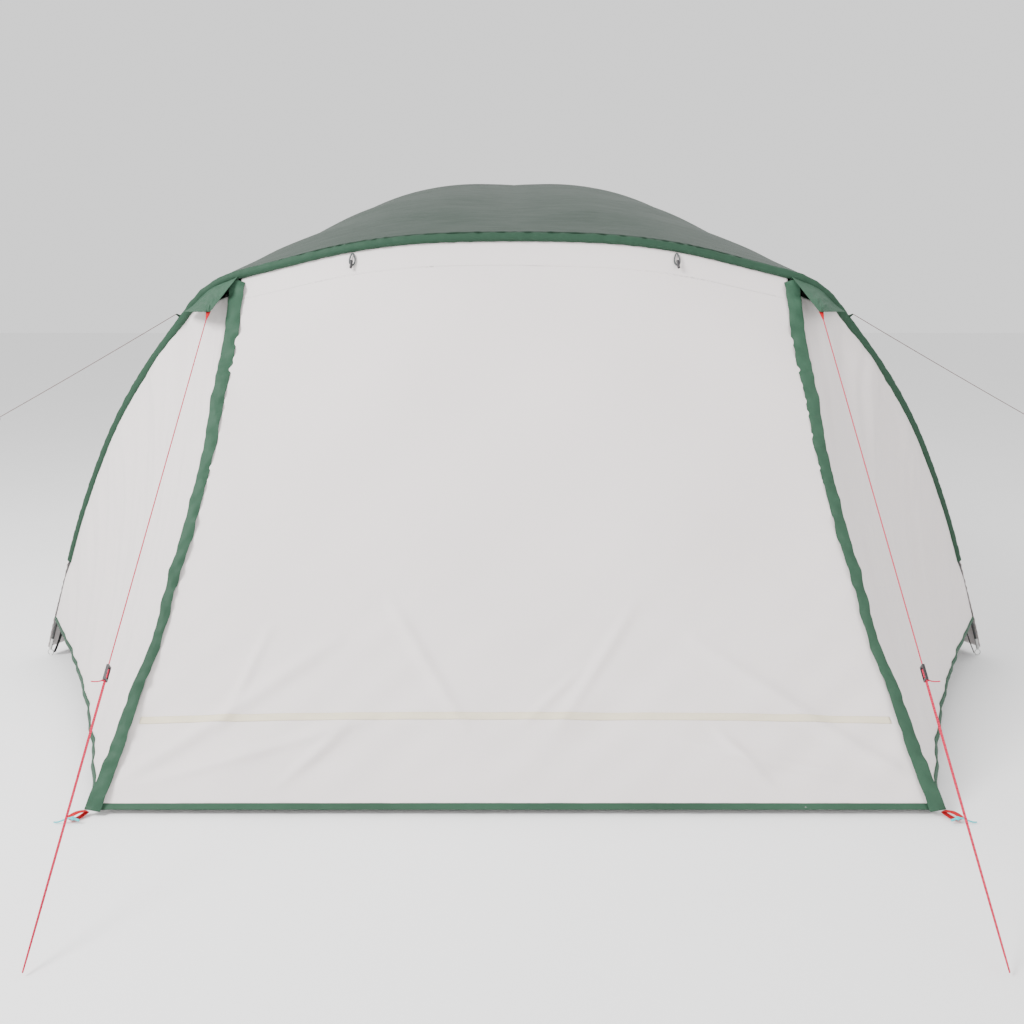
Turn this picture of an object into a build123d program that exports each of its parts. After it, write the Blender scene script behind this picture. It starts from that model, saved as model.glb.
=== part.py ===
from math import pi, radians, tan
import os

from build123d import *

# A two-pole dome tent with a third, leaning hoop that carries a closed porch.
# Millimetres, +Z up, front towards -Y, origin at the bottom centre of the box round the tent.

# ---- driving dimensions: footprint and height
half_width = 1700.0         # from the middle to a hoop foot
hoop_foot_y = -500.0
rear_foot_y = 1762.0
dome_foot_set_back = 90.0   # the dome poles stand this far behind the hoop's feet
dome_foot_inset = 45.0
apex_height = 1760.0
hoop_height = 1464.0        # crown of the hoop, before its bends are rounded
hoop_lean = 0.379           # how far the hoop leans forwards for each unit of height
corner_x = 1065.0           # front corner of the porch
corner_y = -1778.0
door_top_x = 823.0
wall_top_share = 0.47       # share of a dome pole's half that the pale walls cover
wall_from = 0.003           # shares of a dome pole's half where the cabin's cloth begins and ends
roof_to = 0.985
front_wall_from = 0.07      # and between the hoop and the dome poles
front_roof_to = 0.994

# ---- poles
pole_r = 4.25
pole_bore_r = 2.5
ferrule_r = 5.6
ferrule_length = 90.0
slide_gap = 0.15            # pole in its ferrule
elastic_r = 1.3
tip_length = 50.0
foot_z = 26.0               # lower end of each pole, above the ground
pole_sections = 7
section_gap = 0.4
crossing_gap = 7.5          # clear space between the two dome poles where they cross
pole_bend_share = 0.48      # share of the shorter run that each bend's tangent takes
shoulder_radius = 300.0

# ---- fabric
cloth = 2.0
surface_tolerance = 0.2
cloth_off_pole = 16.0       # from a pole's axis to the middle of the cloth
seam_gap = 5.0
sleeve_side_gap = 16.0      # from the sleeve to the cloth behind it
hem_z = 14.0
hem_rise = 150.0            # the porch hem's height at the hoop
hem_width = 16.0
porch_hem_thick = 4.0       # folded cloth and its tape
side_top_width = 150.0      # of each porch side wall at its top
side_to = 0.96              # share of the zip line's length that the porch sides reach
side_set_back = 3.0         # of the porch sides behind the door
visor_reach = 165.0         # of each corner visor along the hoop, from the door's corner
sleeve_r = 12.0
sleeve_bore_r = 7.5
sleeve_from = 0.13          # share of the hoop's half where the sleeve begins
zip_half = 9.0              # from the zip's middle to the cloth on each side
coil_width = 6.0
coil_thick = 3.0
coil_from = 0.012           # shares of the zip line's length that the coil covers
coil_to = 0.965
flap_to = 0.985
flap_width = 42.0
flap_top_width = 44.0
zip_bow = 52.0              # how far the zip line bows inwards at its middle
flap_lift = 12.0            # of the flap's middle above the door
tape_width = 18.0
tape_thick = 1.0
tape_lift = 2.5             # from the middle of the door's cloth to the middle of the tape
panel_gap = 3.0             # between the door, its hem and its top strip
tape_height = 235.0         # along the door, from its hem
tape_end_gap = 30.0         # from the end of the tape to the edge of the door
header_from = 0.955         # shares of the door's height that its fixed top strip covers
header_to = 0.992
floor_thick = 3.0
floor_inset = 60.0

# ---- small fittings
tie_r = 6.6
tie_length = 25.0
ties_per_leg = 3
pin_r = 2.0
pin_reach = 30.0            # how far the pin goes up into the pole
ring_radius = 10.0
ring_wire_r = 1.5
web_width = 16.0
web_thick = 1.6
front_tab_length = 24.0
side_tab_share = 0.578      # share of the hoop's half where the side guyline is tied
side_tab_gap = 1.0
loop_length = 52.0
loop_height = 22.0
loop_gap = 5.5              # from the porch's corner to its peg loop
rear_loop_gap = 4.5         # from the pole's ring pin to the loop behind it
loop_inset = 10.0           # from the porch's corner to the middle of its loop, outwards
tail_length = 62.0
tail_root_r = 2.4
tail_tip_r = 1.0
toggle_x = 474.0
toggle_loop_length = 42.0
toggle_loop_width = 22.0
toggle_loop_band = 3.0
toggle_loop_thick = 2.4
toggle_rounding = 1.4
toggle_bar_length = 26.0
toggle_r = 4.0
toggle_lift = 7.0           # of the toggle's loop above the door
toggle_top_share = 0.998    # share of the door's height that each toggle hangs from
cord_r = 1.5
thin_cord_r = 1.0
side_guy_bend_share = 0.45
eye_radius = 9.0            # of the knotted loop at the end of a side guyline
eye_wire_r = 2.0
eye_gap = 0.6
runner_length = 38.0
runner_width = 18.0
runner_thick = 6.0
runner_wall = 5.0
runner_rim = 2.0
guy_tail_length = 28.0
guy_tail_gap = 0.4
cord_clearance = 0.8
runner_share = 0.64         # how far down the front guyline the runner sits
slider_length = 14.0
slider_width = 12.0
slider_thick = 7.0
slider_clearance = 0.5
slider_rest = 4.0           # from the end of the coil to a closed slider

hoop_shape = [(1.0, 0.0), (0.858, 0.387), (0.726, 0.662), (0.536, 0.909), (0.241, 0.991), (0.0, 1.0)]
dome_shape = [(1.0, 0.0), (0.804, 0.423), (0.54, 0.81), (0.24, 1.0)]

# ---- free cords, as chosen points from the exit to the far end, right-hand side
front_guy = [(890, -1139, 1230), (949.7, -2459.5, 11), (949.7, -2454.1, 5.1), (927.8, -1970.1, 451.9)]
side_guy = [(1027.8, -971.8, 1237.6), (1330, -930, 1072), (1625, -898, 917)]
front_guy_radii = [3.9, 3.9]

inside = Vector(0, 600, 350)
parts = {}


def keep(name, shape):
    parts[name] = shape


def mirrored(shape):
    return mirror(shape, about=Plane.YZ)


def flip(point):
    return Vector(-point.X, point.Y, point.Z)


def on_side(point, side):
    return point if side > 0 else flip(point)


def steps(first, last, count):
    return [first + (last - first) * i / (count - 1) for i in range(count)]


def corner_radii(points, share):
    """Radius at each inner point: a share of the shorter run over the tangent of half the turn."""
    radii = []
    for a, b, c in zip(points, points[1:], points[2:]):
        before, after = b - a, c - b
        half_turn = radians(before.get_angle(after) / 2)
        radii.append(share * min(before.length, after.length) / tan(half_turn))
    return radii


def rounded(points, share=pole_bend_share, largest=None):
    radii = corner_radii(points, share)
    if largest:
        radii = [min(r, largest.get(i, r)) for i, r in enumerate(radii)]
    return FilletPolyline(*points, radius=radii)


def bar(path, outer, inner=0.0):
    """Round bar or tube along a path."""
    section = Plane(origin=path @ 0, z_dir=path % 0) * Circle(outer)
    solid = sweep(section, path=path)
    if inner:
        bore = Plane(origin=path @ 0, z_dir=path % 0) * Circle(inner)
        solid = solid - sweep(bore, path=path)
    return solid


def rod(start, end, radius, inner=0.0):
    return bar(Line(start, end), radius, inner)


def stretch(path, start, length, end=None):
    """The piece of a path from a distance along it."""
    whole = path.length
    last = end if end is not None else start + length
    return Wire(path.edges()).trim(start / whole, last / whole)


def plate(start, end, across, width, thick):
    """Flat bar from one point to another, its width along a given direction."""
    along = end - start
    frame = Plane(origin=start, x_dir=across, z_dir=along)
    return extrude(frame * Rectangle(width, thick), along.length)


# ---- the lines that everything hangs on
def hoop_path():
    right = []
    for x, z in hoop_shape:
        forwards = hoop_foot_y - hoop_lean * z * hoop_height
        right.append(Vector(x * half_width, forwards, foot_z + z * (hoop_height - foot_z)))
    points = right + [flip(p) for p in reversed(right[:-1])]
    shoulder = {2: shoulder_radius, 6: shoulder_radius}
    return rounded(points, largest=shoulder)


def dome_path(height):
    """One dome pole, from its front right foot over to its rear left foot."""
    foot = Vector(half_width - dome_foot_inset, hoop_foot_y + dome_foot_set_back, 0)
    far = Vector(-half_width + dome_foot_inset, rear_foot_y, 0)
    middle, reach = (foot + far) / 2, (foot - far) / 2
    levels = [(d, Vector(0, 0, foot_z + z * (height - foot_z))) for d, z in dome_shape]
    near = [middle + reach * d + level for d, level in levels]
    other = [middle - reach * d + level for d, level in reversed(levels)]
    return rounded(near + other)


hoop = hoop_path()
dome_over = dome_path(apex_height)
dome_under = dome_path(apex_height - 2 * pole_r - crossing_gap)


def hoop_at(side, share):
    """Point of the hoop's axis, share 0 at a foot and 1 at the crown."""
    return on_side(hoop @ (share / 2), side)


def front_leg(side, share):
    return on_side(dome_over @ (share / 2), side)


def rear_leg(side, share):
    return on_side(dome_over @ (1 - share / 2), -side)


def share_where(beyond):
    """Lowest share of the hoop's half, from the foot, whose point passes a test."""
    low, high = 0.0, 1.0
    for _ in range(30):
        middle = (low + high) / 2
        if beyond(hoop_at(1, middle)):
            high = middle
        else:
            low = middle
    return high


def outwards(point, distance):
    return point + (point - inside).normalized() * distance


def between(a, b, gap_a, gap_b, count):
    span = (b - a).length
    return [a + (b - a) * t for t in steps(gap_a / span, 1 - gap_b / span, count)]


def sheet(rows, thick=cloth):
    """Closed thin solid round a surface that goes through rows of points."""
    surface = Face.make_surface_from_array_of_points(rows, tol=surface_tolerance, min_deg=3)
    return thicken(surface, thick / 2, both=True)


# ---- poles and what is on them
def pole_set(name, path):
    """Tube sections with ferrules over their joints, a tip at each end and an elastic cord inside."""
    whole = path.length
    joints = [whole * i / pole_sections for i in range(pole_sections + 1)]
    tubes, ferrules = [], []
    for start, end in zip(joints, joints[1:]):
        piece = stretch(path, start + section_gap / 2, 0, end - section_gap / 2)
        tubes.append(bar(piece, pole_r, pole_bore_r))
    for place in joints[1:-1]:
        piece = stretch(path, place - ferrule_length / 2, ferrule_length)
        ferrules.append(bar(piece, ferrule_r, pole_r + slide_gap))
    tips = [bar(stretch(path, section_gap, tip_length), ferrule_r, pole_r + slide_gap),
            bar(stretch(path, whole - tip_length - section_gap, tip_length), ferrule_r, pole_r + slide_gap)]
    inner = stretch(path, pin_reach + tip_length / 2, 0, whole - pin_reach - tip_length / 2)
    keep(name + "_sections", Compound(children=tubes))
    keep(name + "_ferrules", Compound(children=ferrules))
    keep(name + "_elastic_cord", bar(inner, elastic_r))
    return tips


def foot_pin(path, at_end):
    """Wire ring under a pole's foot, with a pin that stands in the pole's bore."""
    foot = path @ 1 if at_end else path @ 0
    up = (path % 1) * -1 if at_end else path % 0
    centre = Vector(foot.X, foot.Y, ring_radius + ring_wire_r)
    ring = Pos(centre) * Rot(90, 0, 0) * Torus(ring_radius, ring_wire_r)
    neck = Vector(centre.X, centre.Y, centre.Z + ring_radius)
    pin = rod(neck, foot, pin_r) + rod(foot, foot + up * pin_reach, pin_r) + Pos(foot) * Sphere(pin_r)
    return ring + pin


def feet():
    places = [(hoop, False), (hoop, True), (dome_over, False), (dome_over, True)]
    pins = [foot_pin(path, at_end) for path, at_end in places]
    pins += [mirrored(pins[2]), mirrored(pins[3])]
    keep("foot_ring_pins", Compound(children=pins))


def hoop_sleeve():
    whole = hoop.length
    start = whole / 2 * sleeve_from
    piece = stretch(hoop, start, 0, whole - start)
    keep("hoop_sleeve", bar(piece, sleeve_r, sleeve_bore_r))


def pole_ties():
    """Bands that hold the cloth to the dome poles, clear of the ferrules."""
    whole = dome_over.length
    section = whole / pole_sections
    ties = []
    for path in (dome_over, dome_under):
        for i in range(ties_per_leg):
            for place in (section * (i + 0.5), whole - section * (i + 0.5)):
                band = bar(stretch(path, place - tie_length / 2, tie_length), tie_r, pole_r + slide_gap)
                ties.append(band if path is dome_over else mirrored(band))
    keep("pole_ties", Compound(children=ties))


# ---- roof and walls
def gore(a, b, first, last, gap_a=seam_gap, gap_b=seam_gap, rows=7, columns=5):
    """Sheet of straight threads from line a to line b, over a share of both lines."""
    grid = []
    for share in steps(first, last, rows):
        p, q = outwards(a(share), cloth_off_pole), outwards(b(share), cloth_off_pole)
        grid.append(between(p, q, gap_a, gap_b, columns))
    return sheet(grid)


def roof_and_walls():
    split = wall_top_share
    step = seam_gap / (dome_over.length / 2)
    sleeve_side = sleeve_r + sleeve_side_gap
    for side, name in ((1, "right"), (-1, "left")):
        def hoop_line(share, side=side):
            return hoop_at(side, share)

        def front_line(share, side=side):
            return front_leg(side, share)

        def rear_line(share, side=side):
            return rear_leg(side, share)

        keep("wall_front_" + name, gore(hoop_line, front_line, front_wall_from, split - step, sleeve_side))
        roof_front = gore(hoop_line, front_line, split + step, front_roof_to, sleeve_side, rows=9)
        keep("roof_front_" + name, roof_front)
        keep("wall_" + name, gore(front_line, rear_line, wall_from, split - step))
        keep("roof_" + name, gore(front_line, rear_line, split + step, roof_to))

    def rear_left(share):
        return rear_leg(-1, share)

    def rear_right(share):
        return rear_leg(1, share)

    keep("wall_rear", gore(rear_left, rear_right, wall_from, split - step))
    keep("roof_rear", gore(rear_left, rear_right, split + step, roof_to))


def groundsheet():
    front = hoop_foot_y + dome_foot_set_back + floor_inset
    depth = rear_foot_y - floor_inset - front
    width = 2 * (half_width - dome_foot_inset - floor_inset)
    keep("groundsheet", Pos(0, front + depth / 2, floor_thick / 2) * Box(width, depth, floor_thick))


# ---- porch
door_drop = Vector(0, 0, -sleeve_r - seam_gap)
door_top_share = share_where(lambda p: p.X < door_top_x)
door_top_corner = hoop_at(1, door_top_share) + door_drop
corner = Vector(corner_x, corner_y, hem_z)
door_edge = door_top_corner - corner
door_length = door_edge.length
door_normal = Vector(1, 0, 0).cross(Vector(0, door_edge.Y, door_edge.Z)).normalized() * -1
if door_normal.Z < 0:
    door_normal = door_normal * -1


door_inward = door_normal.cross(door_edge).normalized()
if door_inward.X > 0:
    door_inward = door_inward * -1


def edge_at(side, share):
    """Point of the bowed zip line, share 0 at the front corner and 1 at the hoop."""
    bow = 4 * zip_bow * share * (1 - share)
    return on_side(corner + door_edge * share + door_inward * bow, side)


def door_top_at(across):
    """Top of the door under the hoop, across from -1 at its left corner to 1 at its right."""
    side = 1 if across >= 0 else -1
    share = 1 - (1 - door_top_share) * abs(across)
    return hoop_at(side, share) + door_drop


def door_at(across, up):
    bottom = Vector(corner_x * across, corner_y, hem_z)
    return bottom + (door_top_at(across) - bottom) * up


def door_rows(low, high, margin, lift=0.0, rows=5, columns=9):
    grid = []
    for up in steps(low, high, rows):
        reach = (edge_at(1, up).X - margin) / (corner + door_edge * up).X
        grid.append([door_at(across, up) + door_normal * lift for across in steps(-reach, reach, columns)])
    return grid


def door():
    hem = hem_width / door_length
    tape = tape_height / door_length
    half_tape = tape_width / 2 / door_length
    gap = panel_gap / door_length
    keep("door_hem", sheet(door_rows(0.0, hem, zip_half, rows=4)))
    keep("door_panel", sheet(door_rows(hem + gap, header_from - gap, zip_half)))
    keep("door_header", sheet(door_rows(header_from, header_to, zip_half, rows=4)))
    tape_rows = door_rows(tape - half_tape, tape + half_tape, zip_half + tape_end_gap, tape_lift, rows=4)
    keep("door_seam_tape", sheet(tape_rows, tape_thick))


hem_share = share_where(lambda p: p.Z > hem_rise)
side_top_share = share_where(lambda p: p.X < door_top_x + side_top_width)


def side_share(share):
    """Share of the hoop's half that a height on the zip line is joined to."""
    return hem_share + (side_top_share - hem_share) * share


def porch_sides():
    for side, name in ((1, "right"), (-1, "left")):
        def front(share, side=side):
            return edge_at(side, share) - door_normal * side_set_back

        def back(share, side=side):
            return hoop_at(side, side_share(share))

        def rows(shares, front=front, back=back):
            return [between(front(s), back(s), zip_half, sleeve_r + sleeve_side_gap, 5) for s in shares]

        hem = hem_width / door_length
        gap = panel_gap / door_length
        keep("porch_side_" + name, sheet(rows(steps(hem + gap, side_to, 7))))
        keep("porch_hem_" + name, sheet(rows(steps(0.0, hem, 4)), porch_hem_thick))


def zips_and_flaps():
    path = ThreePointArc(*[edge_at(1, share) for share in (coil_from, (coil_from + coil_to) / 2, coil_to)])
    section = Plane(origin=path @ 0, x_dir=door_inward, z_dir=path % 0) * Rectangle(coil_width, coil_thick)
    coil = sweep(section, path=path)
    rows = []
    for share in steps(0.0, flap_to, 6):
        half = (flap_width + (flap_top_width - flap_width) * share) / 2
        middle = edge_at(1, share) + door_normal * flap_lift
        rows.append([middle + door_inward * half * t for t in steps(-1, 1, 4)])
    flap = sheet(rows)
    rest = (slider_length / 2 + slider_rest) / path.length
    frame = Plane(origin=path @ rest, x_dir=door_inward, z_dir=path % rest)
    body = frame * Box(slider_width, slider_thick, slider_length)
    room = 2 * slider_clearance
    tunnel = frame * Box(coil_width + room, coil_thick + room, slider_length * 2)
    slider = body - tunnel
    for name, shape in (("zip_coil", coil), ("storm_flap", flap), ("zip_slider", slider)):
        keep(name + "_right", shape)
        keep(name + "_left", mirrored(shape))
    print("zip arc centre", path.arc_center, "radius", path.radius, "length", path.length)
    print("door normal", door_normal)


def visors():
    """Corner gussets that shade the top of each zip and carry the front guyline tabs."""
    tab = Vector(*front_guy[0])
    upper = edge_at(1, 1.0) + door_normal * (flap_lift + 8)
    reach = share_where(lambda p: p.X < door_top_x + visor_reach)
    leg = hoop_at(1, reach) + Vector(10, -sleeve_r - 10, -4)
    low_inner, low_outer = tab + Vector(-8, 8, 16), tab + Vector(8, 8, 16)
    grid = []
    for down in steps(0, 1, 4):
        inner = upper + (low_inner - upper) * down
        outer = leg + (low_outer - leg) * down
        grid.append([inner + (outer - inner) * t for t in steps(0, 1, 4)])
    gusset = sheet(grid)
    keep("visor_gusset_right", gusset)
    keep("visor_gusset_left", mirrored(gusset))


# ---- fittings
def guy_tabs():
    end, beyond = Vector(*front_guy[0]), Vector(*front_guy[1])
    along = (beyond - end).normalized()
    across = along.cross(Vector(0, 0, 1)).normalized()
    tab = plate(end - along * front_tab_length, end, across, web_width, web_thick)
    keep("guy_tabs", Compound(children=[tab, mirrored(tab)]))


def side_tabs():
    """Green tabs that stand out from the hoop's sleeve and carry the side guylines."""
    root, end = hoop_at(1, side_tab_share), Vector(*side_guy[0])
    out = (end - root).normalized()
    start, stop = root + out * (sleeve_r + side_tab_gap), end - out * (thin_cord_r + side_tab_gap)
    tab = plate(start, stop, hoop % (side_tab_share / 2), web_width, web_thick)
    keep("side_guy_tabs", Compound(children=[tab, mirrored(tab)]))


def peg_loops():
    """Webbing loops at the four ground corners, pulled outwards."""
    hole = SlotOverall(loop_length - 2 * web_thick, loop_height - 2 * web_thick)
    ring = extrude(SlotOverall(loop_length, loop_height) - hole, web_width / 2, both=True)
    out = loop_length / 2 + loop_gap
    rear_x = half_width - dome_foot_inset
    rear_y = rear_foot_y + out + ring_radius + ring_wire_r + rear_loop_gap
    loops = []
    for x, y in ((corner_x + loop_inset, corner_y - out), (rear_x, rear_y)):
        loop = Plane(origin=(x, y, loop_height / 2), x_dir=(0, 1, 0), z_dir=(1, 0, 0)) * ring
        loops += [loop, mirrored(loop)]
    keep("peg_loops", Compound(children=loops))


def loop_tails():
    beside = corner_x + loop_inset + web_width / 2 + tail_root_r + 1.5
    start = Vector(beside, corner_y - loop_length / 2, loop_height / 2)
    frame = Plane(origin=start, z_dir=Vector(tail_length, -6, -4))
    tail = frame * Cone(tail_root_r, tail_tip_r, tail_length, align=(Align.CENTER, Align.CENTER, Align.MIN))
    keep("loop_tails", Compound(children=[tail, mirrored(tail)]))


def foot_webbing():
    """Black straps from the hoop's ring pins to the lower corners of the porch walls."""
    foot = hoop @ 0
    ring_top = Vector(foot.X - ring_radius - ring_wire_r - 2, foot.Y, ring_radius + ring_wire_r)
    wall = hoop_at(1, side_share(0)) + Vector(-sleeve_r - 10, 0, -10)
    strap = plate(ring_top, wall, Vector(0, 1, 0), web_width, web_thick)
    keep("foot_webbing", Compound(children=[strap, mirrored(strap)]))


def toggles():
    across = (1 - share_where(lambda p: p.X < toggle_x)) / (1 - door_top_share)
    top = door_at(across, toggle_top_share) + door_normal * toggle_lift
    down = (door_at(across, 0.0) - door_at(across, 1.0)).normalized()
    thread = toggle_loop_length - toggle_bar_length / 2 - 1
    for side, name in ((1, "right"), (-1, "left")):
        start, along = on_side(top, side), on_side(down, side)
        frame = Plane(origin=start + along * toggle_loop_length / 2, x_dir=along, z_dir=door_normal)
        bands = 2 * toggle_loop_band
        hole = SlotOverall(toggle_loop_length - bands, toggle_loop_width - bands)
        loop = SlotOverall(toggle_loop_length, toggle_loop_width) - hole
        keep("toggle_loop_" + name, extrude(frame * loop, toggle_loop_thick / 2, both=True))
        half_bar = along * toggle_bar_length / 2
        centre = start + along * thread + half_bar + door_normal * (toggle_r + toggle_loop_thick)
        body = rod(centre - half_bar, centre + half_bar, toggle_r)
        keep("toggle_" + name, fillet(body.edges(), toggle_rounding))
    print("toggle hinge", top, "door normal", door_normal)


# ---- guylines
def cord(name, points, radii, radius):
    path = FilletPolyline(*[Vector(*p) for p in points], radius=radii)
    solid = bar(path, radius)
    ratio = solid.volume / (pi * radius ** 2 * path.length)
    bends = [round(r) for r in radii]
    print(name, "length", round(path.length), "radii", bends, "volume ratio", round(ratio, 3))
    keep(name + "_right", solid)
    keep(name + "_left", mirrored(solid))
    return path


def guylines():
    cord("guy_front", front_guy, front_guy_radii, cord_r)
    points = [Vector(*p) for p in side_guy]
    cord("guy_side", side_guy, corner_radii(points, side_guy_bend_share), thin_cord_r)
    end = points[-1]
    along = (end - points[-2]).normalized()
    centre = end + along * (eye_radius + eye_wire_r + eye_gap)
    eye = Pos(centre) * Rot(90, 0, 0) * Torus(eye_radius, eye_wire_r)
    keep("side_guy_eyes", Compound(children=[eye, mirrored(eye)]))


def runner():
    """Open frame that grips both strands of a doubled guyline."""
    first, last = Vector(*front_guy[0]), Vector(*front_guy[1])
    along = (last - first).normalized()
    start = first + (last - first) * runner_share
    back = Vector(*front_guy[3]) - start
    across = (back - along * back.dot(along)).normalized()
    gap = abs(back.dot(across))
    centre = start + across * gap / 2
    frame = Plane(origin=centre, x_dir=across, z_dir=along)
    body = frame * Box(runner_width, runner_thick, runner_length)
    window = frame * Box(runner_width - 2 * runner_rim, runner_thick * 2, runner_length - 2 * runner_wall)
    hole = cord_r + cord_clearance
    body = body - window
    for offset in (-gap / 2, gap / 2):
        body = body - frame * Pos(offset, 0, 0) * Cylinder(hole, runner_length * 2)
    keep("runner_right", body)
    keep("runner_left", mirrored(body))
    aside = along.cross(across).normalized()
    if aside.X < 0:
        aside = aside * -1
    root = centre + along * (runner_length / 2 - runner_rim) + aside * (runner_thick / 2 + guy_tail_gap)
    tail = rod(root, root + aside * guy_tail_length + along * runner_wall, cord_r)
    keep("guy_tail_right", tail)
    keep("guy_tail_left", mirrored(tail))
    print("runner axis", along)


def build():
    tips = pole_set("hoop_pole", hoop)
    more = pole_set("dome_pole_over", dome_over)
    tips += more
    tips += [mirrored(t) for t in pole_set("dome_pole_under", dome_under)]
    for key in ("sections", "ferrules", "elastic_cord"):
        name = "dome_pole_under_" + key
        parts[name] = mirrored(parts[name])
    keep("pole_tips", Compound(children=tips))
    for make in (feet, hoop_sleeve, pole_ties, roof_and_walls, groundsheet, door, porch_sides,
                 zips_and_flaps, visors, guy_tabs, side_tabs, peg_loops, loop_tails, foot_webbing, toggles,
                 guylines, runner):
        make()


build()
os.makedirs("parts", exist_ok=True)
for name, shape in parts.items():
    export_step(shape, "parts/" + name + ".step")
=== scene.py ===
"""A dome tent with a leaning hoop and a closed porch: cloth, cords, webbing and finishes round its frame."""

import math

import bpy
import bmesh
import numpy as np
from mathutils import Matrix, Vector


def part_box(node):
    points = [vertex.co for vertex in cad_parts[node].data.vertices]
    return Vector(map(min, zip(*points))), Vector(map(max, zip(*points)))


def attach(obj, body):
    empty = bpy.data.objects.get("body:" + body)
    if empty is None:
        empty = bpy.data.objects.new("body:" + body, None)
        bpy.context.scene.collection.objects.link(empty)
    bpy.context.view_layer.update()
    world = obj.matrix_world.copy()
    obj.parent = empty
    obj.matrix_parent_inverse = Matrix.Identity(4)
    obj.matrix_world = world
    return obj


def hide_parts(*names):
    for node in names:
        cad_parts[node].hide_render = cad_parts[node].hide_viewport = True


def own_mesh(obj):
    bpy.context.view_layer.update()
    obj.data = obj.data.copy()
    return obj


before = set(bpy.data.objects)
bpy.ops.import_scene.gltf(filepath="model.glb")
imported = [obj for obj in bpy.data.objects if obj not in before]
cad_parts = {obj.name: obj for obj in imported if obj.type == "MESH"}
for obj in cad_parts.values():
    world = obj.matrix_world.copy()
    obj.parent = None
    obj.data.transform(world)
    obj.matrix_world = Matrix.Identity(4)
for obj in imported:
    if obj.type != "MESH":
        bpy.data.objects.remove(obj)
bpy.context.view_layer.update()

bl_info = {
    "name": "Dome tent with porch",
    "version": (1, 0, 0),
    "blender": (4, 5, 0),
    "location": "View3D > Sidebar > Tent",
    "description": "Makes the cloth, cords and finishes of a dome tent round its frame",
    "category": "Add Mesh",
}

# ---- sizes that the frame was made to, in metres
HALF_WIDTH = 1.7
HOOP_FOOT_Y = -0.5
REAR_FOOT_Y = 1.762
DOME_SET_BACK = 0.09
DOME_INSET = 0.045
APEX = 1.76
HOOP_HEIGHT = 1.464
HOOP_LEAN = 0.379
FOOT_Z = 0.026
CORNER = np.array([1.065, -1.778, 0.014])
DOOR_TOP_X = 0.823
SIDE_TOP_WIDTH = 0.15
VISOR_REACH = 0.165
HEM_RISE = 0.15
SPLIT = 0.47
OFF_POLE = 0.016
OFF_POLE_TOP = 0.010
SLEEVE_R = 0.012
SEAM_GAP = 0.005
ZIP_BOW = 0.052
FRONT_RISE = 0.7
CROWN_RISE = 0.5
ZIP_HALF = 0.009
FLAP_LIFT = 0.012
FLAP_FLOOR = 0.0075
FLAP_SHARES = (0.0, 0.12, 0.3, 0.45, 0.6, 0.8, 1.0)
FLAP_HALVES = (0.0210, 0.0170, 0.0130, 0.0160, 0.0160, 0.0205, 0.0215)
HEM = 0.016
TAPE_HEIGHT = 0.227
TAPE_WIDTH = 0.018
BEND_SHARE = 0.48
SHOULDER_RADIUS = 0.3
HOOP_SHAPE = [(1.0, 0.0), (0.858, 0.387), (0.726, 0.662), (0.536, 0.909), (0.241, 0.991), (0.0, 1.0)]
DOME_SHAPE = [(1.0, 0.0), (0.804, 0.423), (0.54, 0.81), (0.24, 1.0)]
INSIDE = np.array([0.0, 0.6, 0.35])

# ---- the free cords: points from the exit to the far end, right-hand side
FRONT_GUY = [(0.890, -1.139, 1.230), (0.9497, -2.4595, 0.011), (0.9497, -2.4541, 0.0051), (0.9278, -1.9701, 0.4519)]
SIDE_GUY = [(1.0278, -0.9718, 1.2376), (1.330, -0.930, 1.072), (1.625, -0.898, 0.917)]
SIDE_TAB_SHARE = 0.578
CORD_WIDTH = 0.003
THIN_CORD_WIDTH = 0.002
CORD_STEP = 0.003

# ---- how the cloth is laid on those lines
SIDES = ((1, "right"), (-1, "left"))
CANOPY_SEED = 11
SEAM_START = 0.011
TUCK_REACH = 0.07
TUCK_HEIGHT = 0.0025
ROOF_FOLD = 0.004
WALL_FOLD = 0.006
WALL_SAG = 0.6
SLEEVE_START = 0.083
SLEEVE_TEST_FACES = 200
DOOR_END = 0.956
BEHIND_DOOR = np.array([0, 3, 0.5])
# start and end in metres across and up the door, width in metres, share of the wrinkle height
DOOR_CREASES = (
    ((-0.98, 0.02), (-0.45, 0.42), 0.022, 1.7),
    ((-0.90, 0.05), (-0.35, 0.22), 0.016, 1.3),
    ((0.98, 0.02), (0.45, 0.42), 0.022, 1.7),
    ((0.90, 0.05), (0.40, 0.16), 0.016, 1.3),
    ((-0.12, 0.20), (-0.32, 0.52), 0.016, 1.2),
    ((0.10, 0.20), (0.30, 0.50), 0.016, 1.2),
    ((-0.55, 0.05), (-0.40, 0.20), 0.014, 1.4),
    ((0.60, 0.04), (0.48, 0.19), 0.014, 1.4),
    ((0.02, 0.21), (0.16, 0.34), 0.012, 0.9),
    ((-0.70, 0.20), (-0.62, 0.46), 0.014, 1.0),
)

# ---- the stage: place, aim, size and power of each lamp
CAMERA = (-0.008, -4.366, 1.279)
CAMERA_DOWN = 10.9
LENS = 38.67
WORLD_LIGHT = 1.25
LAMPS = (
    ("key_light", (-4.5, -4.5, 5.0), (0, -1.2, 0.6), (2.5, 2.5), 760),
    ("fill_light", (3.5, -7.5, 2.5), (0, -0.5, 0.7), (5, 3.5), 200),
    ("left_strip", (-2.6, 0.4, 4.4), (-0.5, 0.2, 1.6), (0.8, 3), 45),
    ("right_strip", (2.6, 0.4, 4.4), (0.5, 0.2, 1.6), (0.8, 3), 45),
)


# ---- lines of the poles
def unit(v):
    return v / np.maximum(np.linalg.norm(v, axis=-1, keepdims=True), 1e-12)


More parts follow.
